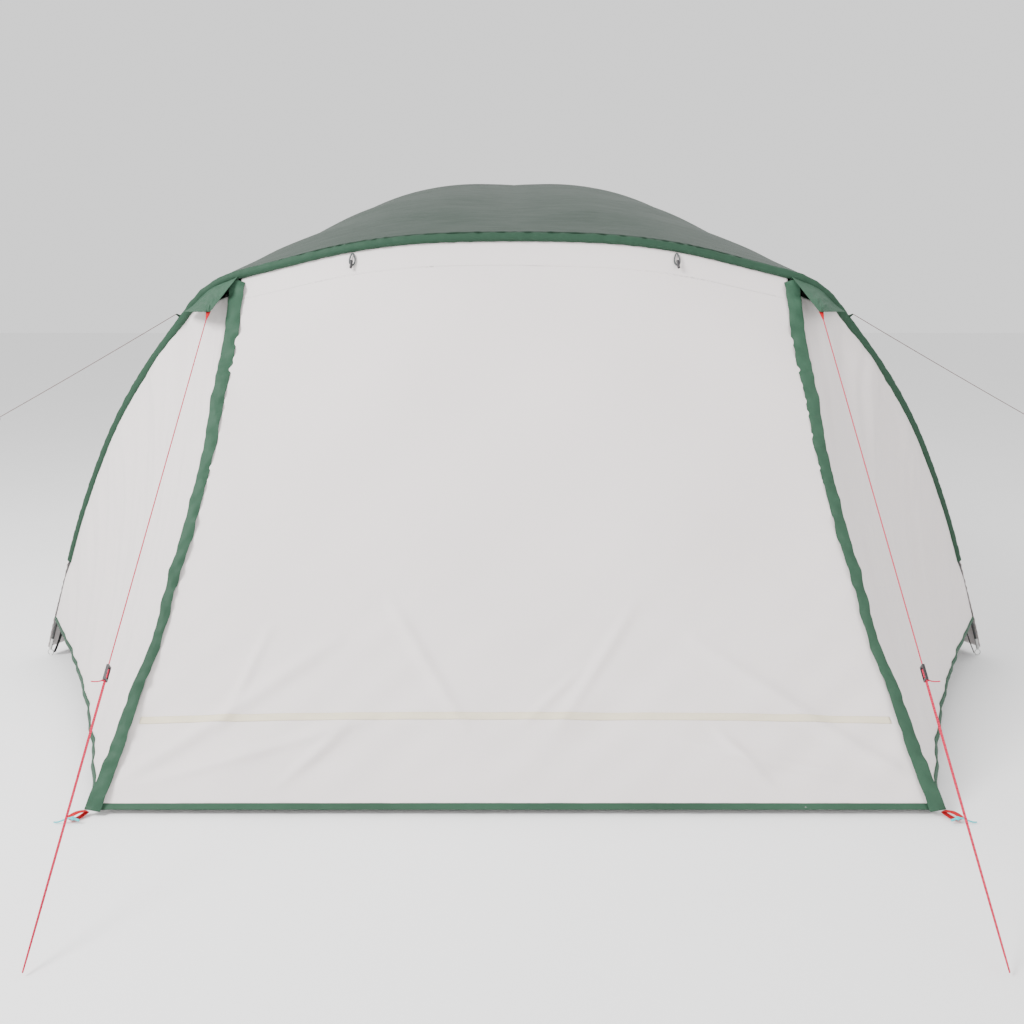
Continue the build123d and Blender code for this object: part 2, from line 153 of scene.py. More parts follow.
def rounded_line(points, largest=None, arc_points=25):
    """Straight runs joined by tangent arcs, as points with their distance along the line."""
    p = np.array(points, float)
    out = [p[:1]]
    for i in range(1, len(p) - 1):
        before, after = p[i] - p[i - 1], p[i + 1] - p[i]
        shorter = min(np.linalg.norm(before), np.linalg.norm(after))
        a, b = unit(before), unit(after)
        turn = math.acos(float(np.clip(a @ b, -1, 1)))
        radius = BEND_SHARE * shorter / math.tan(turn / 2)
        if largest and i in largest:
            radius = min(radius, largest[i])
        start = p[i] - a * radius * math.tan(turn / 2)
        side = (b - a * math.cos(turn)) / math.sin(turn)
        angle = np.linspace(0, turn, arc_points)[:, None]
        out.append(start + radius * (np.sin(angle) * a + (1 - np.cos(angle)) * side))
    out.append(p[-1:])
    line = np.concatenate(out)
    far = np.concatenate([[0], np.cumsum(np.linalg.norm(np.diff(line, axis=0), axis=1))])
    return line, far


def along(line, share):
    """Points of a line at shares of its length."""
    points, far = line
    s = np.asarray(share, float) * far[-1]
    return np.stack([np.interp(s, far, points[:, k]) for k in range(3)], -1)


def hoop_line():
    """The hoop, from its right foot over the top to its left foot."""
    right = [(x * HALF_WIDTH, HOOP_FOOT_Y - HOOP_LEAN * z * HOOP_HEIGHT, FOOT_Z + z * (HOOP_HEIGHT - FOOT_Z))
             for x, z in HOOP_SHAPE]
    left = [(-x, y, z) for x, y, z in reversed(right[:-1])]
    return rounded_line(right + left, {3: SHOULDER_RADIUS, 7: SHOULDER_RADIUS})


def dome_line():
    """One dome pole, from its front right foot to its rear left foot."""
    foot = np.array([HALF_WIDTH - DOME_INSET, HOOP_FOOT_Y + DOME_SET_BACK, 0])
    far = np.array([-HALF_WIDTH + DOME_INSET, REAR_FOOT_Y, 0])
    middle, reach = (foot + far) / 2, (foot - far) / 2
    up = [np.array([0, 0, FOOT_Z + z * (APEX - FOOT_Z)]) for _, z in DOME_SHAPE]
    near = [middle + reach * d + h for (d, _), h in zip(DOME_SHAPE, up)]
    other = [middle - reach * d + h for (d, _), h in zip(reversed(DOME_SHAPE), reversed(up))]
    return rounded_line(near + other)


HOOP = hoop_line()
DOME = dome_line()


def on_side(points, side):
    """Points of the right-hand side moved to a side: 1 right, -1 left."""
    return points * np.stack([np.broadcast_to(side, points.shape[:-1]), np.ones(points.shape[:-1]),
                              np.ones(points.shape[:-1])], -1)


def hoop_at(side, share):
    """Points of half the hoop: share 0 at the foot, 1 at the middle."""
    return on_side(along(HOOP, np.asarray(share) / 2), side)


def front_leg(side, share):
    """Points of the dome pole that starts at a side's front foot."""
    return on_side(along(DOME, np.asarray(share) / 2), side)


def rear_leg(side, share):
    """Points of the dome pole that ends at a side's rear foot."""
    return on_side(along(DOME, 1 - np.asarray(share) / 2), -np.asarray(side))


def share_where_x(x):
    shares = np.linspace(0, 1, 4001)
    return float(shares[np.argmax(hoop_at(1, shares)[:, 0] < x)])


def share_where_z(z):
    shares = np.linspace(0, 1, 4001)
    return float(shares[np.argmax(hoop_at(1, shares)[:, 2] > z)])


DOOR_DROP = np.array([0, 0, -SLEEVE_R - SEAM_GAP])
DOOR_TOP_SHARE = share_where_x(DOOR_TOP_X)
DOOR_TOP = hoop_at(1, DOOR_TOP_SHARE) + DOOR_DROP
DOOR_EDGE = DOOR_TOP - CORNER
DOOR_LENGTH = float(np.linalg.norm(DOOR_EDGE))
DOOR_UP = unit(np.array([0, DOOR_EDGE[1], DOOR_EDGE[2]]))
DOOR_NORMAL = np.array([0, -DOOR_UP[2], DOOR_UP[1]])
DOOR_INWARD = unit(np.cross(DOOR_EDGE, DOOR_NORMAL))
if DOOR_INWARD[0] > 0:
    DOOR_INWARD = -DOOR_INWARD
HEM_SHARE = share_where_z(HEM_RISE)
SIDE_TOP_SHARE = share_where_x(DOOR_TOP_X + SIDE_TOP_WIDTH)


def outwards(points, distance):
    """Points moved away from the middle of the cabin."""
    return points + unit(points - INSIDE) * distance


def edge_at(side, share):
    """Bowed zip line from the front corner, share 0, to the hoop, share 1."""
    share = np.asarray(share, float)[..., None]
    return on_side(CORNER + DOOR_EDGE * share + DOOR_INWARD * 4 * ZIP_BOW * share * (1 - share), side)


def door_at(across, up):
    """Straight threads from the front hem to the underside of the hoop."""
    across, up = np.broadcast_arrays(np.asarray(across, float), np.asarray(up, float))
    side = np.where(across >= 0, 1.0, -1.0)
    top = hoop_at(side, 1 - (1 - DOOR_TOP_SHARE) * np.abs(across)) + DOOR_DROP
    bottom = np.stack([CORNER[0] * across, np.full(across.shape, CORNER[1]), np.full(across.shape, CORNER[2])], -1)
    return bottom + (top - bottom) * up[..., None]


def door_reach(up, margin):
    """How far across the door's cloth goes at a height, so that it stops beside the zip."""
    straight = CORNER[0] + DOOR_EDGE[0] * up
    return (edge_at(1, up)[..., 0] - margin) / straight


# ---- wrinkles
def waves(u, v, seed, count, shortest, longest, lean=math.pi):
    """Sum of cosine waves of the plane, in metres, with wavelengths between two bounds; about -1 to 1."""
    draw = np.random.default_rng(seed)
    total = np.zeros(np.broadcast(u, v).shape)
    for _ in range(count):
        size = draw.uniform(shortest, longest)
        turn = draw.uniform(-lean / 2, lean / 2)
        phase = draw.uniform(0, 2 * math.pi)
        total = total + np.cos(2 * math.pi * (u * math.cos(turn) + v * math.sin(turn)) / size + phase)
    return total / math.sqrt(count * 2)


def crease(u, v, start, end, width):
    """Soft ridge along a segment of the plane: a bell curve of the distance to it."""
    a, b = np.array(start), np.array(end)
    run = b - a
    t = np.clip(((u - a[0]) * run[0] + (v - a[1]) * run[1]) / (run @ run), 0, 1)
    gap = np.hypot(u - a[0] - t * run[0], v - a[1] - t * run[1])
    return np.exp(-(gap / width) ** 2) * np.sin(math.pi * (0.1 + 0.8 * t))


# ---- meshes
def new_object(name, verts, faces, uv=None, material=None):
    """A smooth-shaded mesh object from arrays, linked to the scene."""
    mesh = bpy.data.meshes.new(name)
    mesh.from_pydata(verts.reshape(-1, 3).tolist(), [], faces.tolist())
    if uv is not None:
        layer = mesh.uv_layers.new(name="cut")
        corner = np.empty(len(mesh.loops), int)
        mesh.loops.foreach_get("vertex_index", corner)
        layer.data.foreach_set("uv", uv.reshape(-1, 2)[corner].ravel())
    mesh.polygons.foreach_set("use_smooth", np.full(len(mesh.polygons), True))
    obj = bpy.data.objects.new(name, mesh)
    bpy.context.scene.collection.objects.link(obj)
    if material:
        mesh.materials.append(material)
    mesh.update()
    return obj


def grid_faces(rows, columns, wrap=False):
    """Four-sided faces between the points of a grid."""
    last = columns if wrap else columns - 1
    i, j = np.meshgrid(np.arange(rows - 1), np.arange(last), indexing="ij")
    k = (j + 1) % columns
    return np.stack([i * columns + j, i * columns + k, (i + 1) * columns + k, (i + 1) * columns + j], -1).reshape(-1, 4)


def cut_uv(points):
    """Distance along the rows and up the columns of a grid, in metres: the cloth as it was cut."""
    across = np.linalg.norm(np.diff(points, axis=1), axis=-1)
    up = np.linalg.norm(np.diff(points, axis=0), axis=-1)
    u = np.concatenate([np.zeros((len(points), 1)), np.cumsum(across, 1)], 1)
    v = np.concatenate([np.zeros((1, points.shape[1])), np.cumsum(up, 0)], 0)
    return np.stack([u - u[:, -1:] / 2, v], -1)


def outward_faces(points, faces, centre=INSIDE):
    """The faces, turned over if they point towards the centre."""
    flat = points.reshape(-1, 3)
    a, b, c = (flat[faces[:, k]] for k in (0, 1, 2))
    facing = np.einsum("ij,ij->i", np.cross(b - a, c - a), a - centre)
    return faces if facing.sum() > 0 else faces[:, ::-1]


def cloth_object(name, points, material, thick=0.0012, centre=INSIDE):
    """A grid of points as cloth: one surface given its thickness evenly on both sides."""
    faces = outward_faces(points, grid_faces(*points.shape[:2]), centre)
    obj = new_object(name, points, faces, cut_uv(points), material)
    add_thickness(obj, thick)
    return obj


def add_thickness(obj, thick):
    """Thickness given evenly on both sides of a surface."""
    solid = obj.modifiers.new("thickness", "SOLIDIFY")
    solid.thickness = thick
    solid.offset = 0


def joined(name, objects):
    """Several new pieces as one mesh, with seams and doubled points merged."""
    work = bmesh.new()
    for o in objects:
        work.from_mesh(o.data)
    bmesh.ops.remove_doubles(work, verts=work.verts, dist=0.0002)
    mesh = objects[0].data
    work.to_mesh(mesh)
    work.free()
    for o in objects[1:]:
        data = o.data
        bpy.data.objects.remove(o)
        bpy.data.meshes.remove(data)
    objects[0].name = name
    mesh.name = name
    return objects[0]


def flat_size(points):
    """Longest row, longest column and area of a grid of cloth."""
    across = np.linalg.norm(np.diff(points, axis=1), axis=-1).sum(1).max()
    up = np.linalg.norm(np.diff(points, axis=0), axis=-1).sum(0).max()
    a = points[:-1, :-1] - points[1:, 1:]
    b = points[:-1, 1:] - points[1:, :-1]
    area = 0.5 * np.linalg.norm(np.cross(a, b), axis=-1).sum()
    return float(across), float(up), float(min(area, across * up))


def declare_sheet(grids):
    sizes = [flat_size(g) for g in grids]


def tube(name, path, radius, reference, material, sides=10, lobes=0, twist=0.0):
    """Round profile carried along a path; lobes and twist in turns per metre make it a laid cord."""
    path = np.asarray(path, float)
    ahead = unit(np.gradient(path, axis=0))
    first = unit(np.cross(ahead, np.asarray(reference, float)))
    second = np.cross(ahead, first)
    far = np.concatenate([[0], np.cumsum(np.linalg.norm(np.diff(path, axis=0), axis=1))])[:, None]
    angle = np.linspace(0, 2 * math.pi, sides, endpoint=False)[None]
    size = np.broadcast_to(np.asarray(radius, float).reshape(-1, 1), (len(path), 1))
    if lobes:
        size = size * (1 - 0.10 + 0.10 * np.cos(lobes * (angle - 2 * math.pi * twist * far)))
    size = np.broadcast_to(size, (len(path), sides))
    ring = first[:, None] * np.cos(angle)[..., None] + second[:, None] * np.sin(angle)[..., None]
    points = path[:, None] + ring * size[..., None]
    faces = grid_faces(len(path), sides, wrap=True)
    flat = points.reshape(-1, 3)
    outward = np.einsum("ij,ij->i", np.cross(flat[faces[:, 1]] - flat[faces[:, 0]],
                                            flat[faces[:, 2]] - flat[faces[:, 0]]), ring[:-1].reshape(-1, 3))
    if outward.sum() < 0:
        faces = faces[:, ::-1]
    turn = np.broadcast_to(angle / (2 * math.pi), (len(path), sides))
    uv = np.stack([np.broadcast_to(far, turn.shape), turn * 2 * math.pi * float(size.mean())], -1)
    obj = new_object(name, points, faces, uv, material)
    close_holes(obj)
    return obj


def close_holes(obj):
    """Fills the open ends of a piece and turns its faces outwards."""
    work = bmesh.new()
    work.from_mesh(obj.data)
    edges = [e for e in work.edges if e.is_boundary]
    bmesh.ops.holes_fill(work, edges=edges, sides=0)
    bmesh.ops.recalc_face_normals(work, faces=work.faces)
    work.to_mesh(obj.data)
    work.free()


def webbing(name, path, across, width, thick, material):
    """Flat woven strap: a rounded flat section carried along a path; its width may change along it."""
    path = np.asarray(path, float)
    ahead = unit(np.gradient(path, axis=0))
    across = unit(np.broadcast_to(np.asarray(across, float), path.shape))
    across = unit(across - ahead * np.sum(across * ahead, -1, keepdims=True))
    up = np.cross(ahead, across)
    angle = np.linspace(0, 2 * math.pi, 20, endpoint=False)
    width = np.broadcast_to(np.asarray(width, float), len(path))[:, None]
    wide = np.sign(np.cos(angle)) * np.abs(np.cos(angle)) ** 0.35 * width / 2
    high = np.sign(np.sin(angle)) * np.abs(np.sin(angle)) ** 0.6 * thick / 2
    points = path[:, None] + across[:, None] * wide[..., None] + up[:, None] * high[None, :, None]
    far = np.concatenate([[0], np.cumsum(np.linalg.norm(np.diff(path, axis=0), axis=1))])
    uv = np.stack(np.broadcast_arrays(wide, far[:, None]), -1)
    obj = new_object(name, points, grid_faces(len(path), 20, wrap=True), uv, material)
    close_holes(obj)
    return obj


# ---- shader maths
class Value:
    """A number socket that can be used in Python expressions."""

    def __init__(self, tree, socket):
        self.tree, self.socket = tree, socket

    def math(self, operation, other=None, swapped=False):
        node = self.tree.nodes.new("ShaderNodeMath")
        node.operation = operation
        pair = (other, self) if swapped else (self, other)
        for slot, value in zip(node.inputs, pair):
            if isinstance(value, Value):
                self.tree.links.new(value.socket, slot)
            elif value is not None:
                slot.default_value = value
        return Value(self.tree, node.outputs[0])

    def __add__(self, other):
        return self.math("ADD", other)

    def __sub__(self, other):
        return self.math("SUBTRACT", other)

    def __rsub__(self, other):
        return self.math("SUBTRACT", other, swapped=True)

    def __mul__(self, other):
        return self.math("MULTIPLY", other)

    __radd__ = __add__
    __rmul__ = __mul__


class Finish:
    """A material under construction, on its own Principled shader."""

    def __init__(self, name, **constants):
        self.material = bpy.data.materials.new(name)
        self.material.use_nodes = True
        self.tree = self.material.node_tree
        self.shader = self.tree.nodes["Principled BSDF"]
        for key, value in constants.items():
            self.shader.inputs[key.replace("_", " ")].default_value = value

    def node(self, kind, settings=None, output=0, **inputs):
        node = self.tree.nodes.new(kind)
        for key, value in (settings or {}).items():
            setattr(node, key, value)
        for key, value in inputs.items():
            slot = node.inputs[key.replace("_", " ")]
            if isinstance(value, Value):
                self.tree.links.new(value.socket, slot)
            else:
                slot.default_value = value
        return Value(self.tree, node.outputs[output])

    def place(self, kind="Object"):
        return self.node("ShaderNodeTexCoord", output=kind)

    def noise(self, where, scale, detail=3.0, roughness=0.5, stretch=None):
        if stretch:
            where = self.node("ShaderNodeMapping", Vector=where, Scale=stretch)
        return self.node("ShaderNodeTexNoise", Vector=where, Scale=scale, Detail=detail, Roughness=roughness)

    def wave(self, where, axis, period):
        """Sine bands from 0 to 1 across one axis, with a period in metres."""
        split = self.node("ShaderNodeSeparateXYZ", Vector=where, output=axis)
        return (split * (2 * math.pi / period)).math("SINE") * 0.5 + 0.5

    def blend(self, factor, first, second):
        node = self.tree.nodes.new("ShaderNodeMix")
        node.data_type = "RGBA"
        self.tree.links.new(factor.socket, node.inputs["Factor"])
        for slot, value in ((node.inputs[6], first), (node.inputs[7], second)):
            if isinstance(value, Value):
                self.tree.links.new(value.socket, slot)
            else:
                slot.default_value = (*value, 1.0)
        return Value(self.tree, node.outputs[2])

    def bump(self, height, strength, distance):
        return self.node("ShaderNodeBump", Height=height, Strength=strength, Distance=distance)

    def feed(self, **links):
        for key, value in links.items():
            self.tree.links.new(value.socket, self.shader.inputs[key.replace("_", " ")])
        return self.material


def shade(colour, factor):
    return tuple(c * factor for c in colour)


def coated_cloth(name, colour, dark, light, roughness, sheen, crumple, specular=0.35, stretch=(1, 1, 1)):
    """Coated woven cloth: fine weave on the cut, soft crumples, slow changes of tone."""
    f = Finish(name, Sheen_Weight=sheen, Specular_IOR_Level=specular)
    place, cut = f.place(), f.place("UV")
    slow = f.noise(place, 1.7, 3)
    fold = f.noise(place, 9.0, 5, 0.6, stretch)
    weave = f.wave(cut, 0, 0.0016) * f.wave(cut, 1, 0.0016)
    tone = f.blend(slow, shade(colour, dark), shade(colour, light))
    tone = f.blend(weave * 0.25, tone, shade(colour, 0.8))
    height = fold * crumple + weave * 0.03
    rough = fold * 0.12 + (roughness - 0.06)
    return f.feed(Base_Color=tone, Roughness=rough, Normal=f.bump(height, 0.5, 0.006))


def tape_cloth(name, colour, period=0.0022, roughness=0.8):
    """Ribbed tape or webbing: ribs across the strap and finer threads at right angles to them."""
    f = Finish(name, Specular_IOR_Level=0.15)
    cut = f.place("UV")
    ribs = f.wave(cut, 1, period)
    threads = f.wave(cut, 0, period * 0.7)
    grime = f.noise(f.place(), 30.0, 4)
    tone = f.blend(ribs, shade(colour, 0.72), shade(colour, 1.1))
    tone = f.blend(grime * 0.35, tone, shade(colour, 0.65))
    return f.feed(Base_Color=tone, Roughness=grime * 0.15 + (roughness - 0.07),
                  Normal=f.bump(ribs * 0.7 + threads * 0.3, 0.6, 0.0006))


def braided_cord(name, colour, fleck, pitch=0.011):
    """Braided cord: two crossing sets of diagonal strands, dark flecks where they meet."""
    f = Finish(name, Specular_IOR_Level=0.2)
    cut = f.place("UV")
    u = f.node("ShaderNodeSeparateXYZ", Vector=cut, output=0)
    v = f.node("ShaderNodeSeparateXYZ", Vector=cut, output=1)
    a = ((u * (2 * math.pi / pitch)) + (v * (2 * math.pi / 0.0031))).math("SINE") * 0.5 + 0.5
    b = ((u * (2 * math.pi / pitch)) - (v * (2 * math.pi / 0.0031))).math("SINE") * 0.5 + 0.5
    mark = (a * b).math("GREATER_THAN", 0.45)
    tone = f.blend(mark, colour, fleck)
    return f.feed(Base_Color=tone, Roughness=a * 0.15 + 0.6, Normal=f.bump(a.math("MAXIMUM", b), 0.7, 0.0005))


def moulded(name, colour, roughness, metallic=0.0, grain=400.0, wear=0.15):
    """Moulded or drawn stock: fine grain in the gloss and slight changes of tone."""
    f = Finish(name, Metallic=metallic)
    place = f.place()
    fine = f.noise(place, grain, 4)
    slow = f.noise(place, 14.0, 3)
    tone = f.blend(slow, shade(colour, 1 - wear), shade(colour, 1 + wear))
    return f.feed(Base_Color=tone, Roughness=fine * 0.16 + slow * 0.1 + (roughness - 0.13),
                  Normal=f.bump(fine, 0.25, 0.0002))


_made = {}


def finish_of(key):
    """The tent's finishes, each made once."""
    if key not in _made:
        c = bpy.context.scene.tent_colours
        green, pale = tuple(c.green), tuple(c.pale)
        makers = {
            # painted shade: the roof takes the shared green darkened to 0.62, a shaded copy of the cloth of the sleeve
            # and flaps
            "roof": lambda: coated_cloth("green_roof_cloth_painted_shade", shade(green, 0.62), 0.84, 1.15, 0.42, 0.0, 0.6, 0.10,
                                         (1, 2.5, 1)),
            # painted light: flaps, hems and visors take the shared green lightened to 1.45, a lit copy of the roof's
            # cloth; its wide swing of tone, 0.5 to 1.6, paints patchy light and shade like that of creases
            "green": lambda: coated_cloth("green_flap_cloth_painted_light", shade(green, 1.45), 0.5, 1.6, 0.6, 0.0, 2.4, 0.15),
            # painted light: the sleeve takes the shared green lightened to 1.25, a lit copy of the roof's cloth
            "sleeve": lambda: coated_cloth("green_sleeve_cloth_painted_light", shade(green, 1.25), 0.75, 1.2, 0.6, 0.0, 1.4, 0.12),
            "binding": lambda: tape_cloth("green_binding", shade(green, 0.75), 0.0018),
            "pale": lambda: coated_cloth("pale_door_cloth", pale, 0.965, 1.03, 0.72, 0.1, 0.22, 0.2),
            # painted shade: the walls take the door's pale darkened to 0.95, a shaded copy of the same cloth
            "wall": lambda: coated_cloth("pale_wall_cloth_painted_shade", shade(pale, 0.95), 0.94, 1.03, 0.72, 0.1, 0.5, 0.2,
                                         (2.2, 2.2, 0.5)),
            "tape": lambda: tape_cloth("cream_seam_tape", tuple(c.tape), 0.003),
            "red": lambda: tape_cloth("red_webbing", tuple(c.red)),
            "black": lambda: tape_cloth("black_webbing", (0.02, 0.02, 0.022)),
            "grey": lambda: tape_cloth("grey_elastic", (0.11, 0.12, 0.12), 0.0012),
            "guy": lambda: braided_cord("guy_cord", tuple(c.cord), shade(tuple(c.cord), 0.18)),
            "thin_guy": lambda: braided_cord("side_guy_cord", (0.12, 0.05, 0.045), (0.03, 0.02, 0.02), 0.006),
            "cyan": lambda: braided_cord("cyan_cord", (0.05, 0.55, 0.60), (0.03, 0.35, 0.40), 0.006),
            "elastic": lambda: braided_cord("pole_elastic", (0.75, 0.75, 0.72), (0.2, 0.2, 0.2), 0.006),
            "fibreglass": lambda: moulded("black_fibreglass", (0.018, 0.018, 0.019), 0.38),
            "steel": lambda: moulded("plated_steel", (0.55, 0.55, 0.54), 0.36, 1.0),
            "plastic": lambda: moulded("black_nylon", (0.02, 0.018, 0.02), 0.45),
            "zip": lambda: tape_cloth("green_zip_coil", shade(green, 0.8), 0.0015),
            "slider": lambda: moulded("painted_zinc", shade(green, 0.6), 0.4, 0.6),
            "floor": lambda: coated_cloth("groundsheet", (0.16, 0.18, 0.175), 0.85, 1.15, 0.6, 0.0, 0.6),
        }
        _made[key] = makers[key]()
    return _made[key]


def dress(key, *nodes):
    """Gives carried-over nodes their finish."""
    for name in nodes:
        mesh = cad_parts[name].data
        mesh.materials.clear()
        mesh.materials.append(finish_of(key))


# ---- settings a user would change
class TentSizes(bpy.types.PropertyGroup):
    sag: bpy.props.FloatProperty(name="Sag", description="How far the roof dips between the poles, of the span",
                                 default=0.016, min=0, max=0.1, subtype="FACTOR")
    cloth: bpy.props.FloatProperty(name="Cloth", description="Thickness of the cloth", default=0.0012, min=0.0004,
                                   max=0.003, unit="LENGTH")
    door_wrinkle: bpy.props.FloatProperty(name="Door wrinkles", description="Height of the door's wrinkles",
                                          default=0.0085, min=0, max=0.02, unit="LENGTH")
    wall_wrinkle: bpy.props.FloatProperty(name="Wall wrinkles", description="Height of the porch walls' folds",
                                          default=0.013, min=0, max=0.02, unit="LENGTH")
    flap_wrinkle: bpy.props.FloatProperty(name="Flap wrinkles", description="Height of the storm flaps' creases",
                                          default=0.0042, min=0, max=0.01, unit="LENGTH")
    floor_reach: bpy.props.FloatProperty(name="Floor", description="Half the width of the studio floor",
                                         default=40.0, min=5, max=100, unit="LENGTH")


def colour_property(name, words, value):
    return bpy.props.FloatVectorProperty(name=name, description=words, subtype="COLOR", size=3, default=value,
                                         min=0, max=1)


class TentColours(bpy.types.PropertyGroup):
    # finish_of gives the roof a darker copy of this green and the sleeve and flaps lighter copies: painted shade and
    # painted light
    green: colour_property("Green", "Roof, sleeve and flaps", (0.019, 0.047, 0.029))
    # finish_of gives the walls a darker copy of this pale: painted shade
    pale: colour_property("Pale", "Door and walls", (0.76, 0.705, 0.695))
    tape: colour_property("Tape", "Seam tape across the door", (0.84, 0.76, 0.58))
    red: colour_property("Red", "Peg loops and guyline tabs", (0.50, 0.008, 0.015))
    cord: colour_property("Cord", "Front guylines", (0.62, 0.02, 0.07))


# ---- operators
class TentOperator:
    bl_options = {"REGISTER", "UNDO"}

    def execute(self, context):
        self.make(context.scene.tent_sizes)
        return {"FINISHED"}


def soft_light(name, place, aim, size, power):
    data = bpy.data.lights.new(name, "AREA")
    data.shape, data.size, data.size_y, data.energy = "RECTANGLE", size[0], size[1], power
    lamp = bpy.data.objects.new(name, data)
    bpy.context.scene.collection.objects.link(lamp)
    lamp.location = place
    lamp.rotation_euler = (Vector(aim) - Vector(place)).to_track_quat("-Z", "Y").to_euler()


class TENT_OT_stage(TentOperator, bpy.types.Operator):
    """Camera, pale floor and soft light"""
    bl_idname = "tent.stage"
    bl_label = "Stage"

    def make(self, sizes):
        camera = bpy.data.objects.new("camera", bpy.data.cameras.new("camera"))
        bpy.context.scene.collection.objects.link(camera)
        camera.data.sensor_width = 36
        camera.data.lens = LENS
        camera.data.clip_end = 200
        camera.location = CAMERA
        camera.rotation_euler = (math.radians(90 - CAMERA_DOWN), 0, 0)
        bpy.context.scene.camera = camera
        reach = sizes.floor_reach
        floor = new_object("floor", np.array([[-reach, -reach, 0], [reach, -reach, 0], [reach, reach, 0],
                                              [-reach, reach, 0]], float), np.array([[0, 1, 2, 3]]))
        f = Finish("pale_floor", Roughness=0.9)
        speckle = f.noise(f.place(), 3.0, 2)
        floor.data.materials.append(f.feed(Base_Color=f.blend(speckle, (0.89, 0.89, 0.89), (0.91, 0.91, 0.91))))
        world = bpy.data.worlds.new("studio")
        bpy.context.scene.world = world
        world.use_nodes = True
        world.node_tree.nodes["Background"].inputs["Color"].default_value = (1, 1, 1, 1)
        world.node_tree.nodes["Background"].inputs["Strength"].default_value = WORLD_LIGHT
        for lamp in LAMPS:
            soft_light(*lamp)


def spline_points(points, name):
    """Even points along a smooth spline whose control points are the route."""
    curve = bpy.data.curves.new(name, "CURVE")
    curve.dimensions = "3D"
    curve.resolution_u = 48
    spline = curve.splines.new("NURBS")
    spline.points.add(len(points) - 1)
    spline.points.foreach_set("co", [c for p in points for c in (*p, 1.0)])
    spline.order_u = 3
    spline.use_endpoint_u = True
    holder = bpy.data.objects.new(name, curve)
    mesh = bpy.data.meshes.new_from_object(holder)
    line = np.empty(len(mesh.vertices) * 3)
    mesh.vertices.foreach_get("co", line)
    bpy.data.objects.remove(holder)
    bpy.data.meshes.remove(mesh)
    bpy.data.curves.remove(curve)
    return line.reshape(-1, 3)


def even(line, step):
    """A line resampled at even steps."""
    far = np.concatenate([[0], np.cumsum(np.linalg.norm(np.diff(line, axis=0), axis=1))])
    s = np.linspace(0, far[-1], max(8, int(far[-1] / step)))
    return np.stack([np.interp(s, far, line[:, k]) for k in range(3)], -1), float(far[-1])


class TENT_OT_guylines(TentOperator, bpy.types.Operator):
    """Two doubled front guylines and two side guylines"""
    bl_idname = "tent.guylines"
    bl_label = "Guylines"

    def make(self, sizes):
        for side, name in SIDES:
            mirror = np.array([side, 1, 1])
            path, length = even(spline_points(FRONT_GUY, "route"), CORD_STEP)
            path = path * mirror
            ref = np.cross(np.array(FRONT_GUY[1]) - FRONT_GUY[0], (1, 0, 0)) * mirror
            cord = tube("front_guyline_" + name, path, CORD_WIDTH / 2, ref, finish_of("guy"), 10)
            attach(cord, "tent")
            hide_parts("guy_front_" + name)
            tail = self.tail(side, name)
            path, length = even(spline_points(SIDE_GUY, "route"), CORD_STEP)
            path = path * mirror
            cord = tube("side_guyline_" + name, path, THIN_CORD_WIDTH / 2, (0, 1, 0.1), finish_of("thin_guy"), 10)
            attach(cord, "tent")
            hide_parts("guy_side_" + name)
            eye = self.eye(path, name)
            if side < 0:
                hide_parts("side_guy_eyes")

    def tail(self, side, name):
        """Knot at the runner and the short tail that comes out of it."""
        low, high = (np.array(p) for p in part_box("guy_tail_" + name))
        start = np.array([low[0] if side > 0 else high[0], (low[1] + high[1]) / 2, high[2] - CORD_WIDTH / 2])
        end = np.array([high[0] if side > 0 else low[0], start[1], low[2] + CORD_WIDTH / 2])
        t = np.linspace(0, 1, 40)[:, None]
        path = start + (end - start) * t + np.array([0, 0, -0.002]) * np.sin(math.pi * t)
        size = CORD_WIDTH / 2 * (1 + 0.7 * np.exp(-((t[:, 0] - 0.07) / 0.06) ** 2))
        piece = tube("guyline_tail_" + name, path, size, (0, 1, 0), finish_of("guy"), 10)
        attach(piece, "runner_" + name)
        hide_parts("guy_tail_" + name)
        return piece

    def eye(self, path, name):
        """Loop at the outer end of a side guyline, with its whipping."""
        ahead = unit(path[-1] - path[-10])
        turn = np.linspace(0, 2 * math.pi, 60)[:, None]
        centre = path[-1] + ahead * 0.0116
        ring = centre + 0.009 * (-np.cos(turn) * ahead + np.sin(turn) * np.array([ahead[2], 0, -ahead[0]]))
        loop = tube("side_guy_eye_" + name, ring, THIN_CORD_WIDTH * 0.75, (0, 1, 0), finish_of("thin_guy"), 8, 6, 150)
        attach(loop, "tent")
        return loop


def canopy(side, share, across):
    """Threads between the poles: across 0 to 1 hoop to dome, 1 to 2 along the side, 2 to 3 to the back's middle."""
    off = np.interp(share, (0.6, 0.85), (OFF_POLE, OFF_POLE_TOP))[..., None]
    hoop = outwards(hoop_at(side, share), OFF_POLE)
    front = outwards(front_leg(side, share), off)
    rear = outwards(rear_leg(side, share), off)
    middle = (rear + outwards(rear_leg(-side, share), off)) / 2
    part = np.clip(across - np.arange(3)[:, None, None], 0, 1)
    points = hoop + (front - hoop) * part[0][..., None] + (rear - front) * part[1][..., None]
    points = points + (middle - rear) * part[2][..., None]
    spans = [np.linalg.norm(front - hoop, axis=-1), np.linalg.norm(rear - front, axis=-1),
             2 * np.linalg.norm(middle - rear, axis=-1)]
    bell = [np.sin(math.pi * part[0]), np.sin(math.pi * part[1]), np.sin(math.pi * part[2] / 2)]
    bell[2] = np.where(across > 2, bell[2], 0)
    bell[1] = np.where((across > 1) & (across < 2), bell[1], 0)
    bell[0] = np.where(across < 1, bell[0], 0)
    dip = spans[1] * bell[1] + spans[2] * bell[2] - FRONT_RISE * spans[0] * bell[0]
    crown = np.exp(-((share - 1) / 0.07) ** 2) * np.exp(-((part[0] - 1) / 0.25) ** 2) * (across <= 1)
    return points, dip - CROWN_RISE * crown


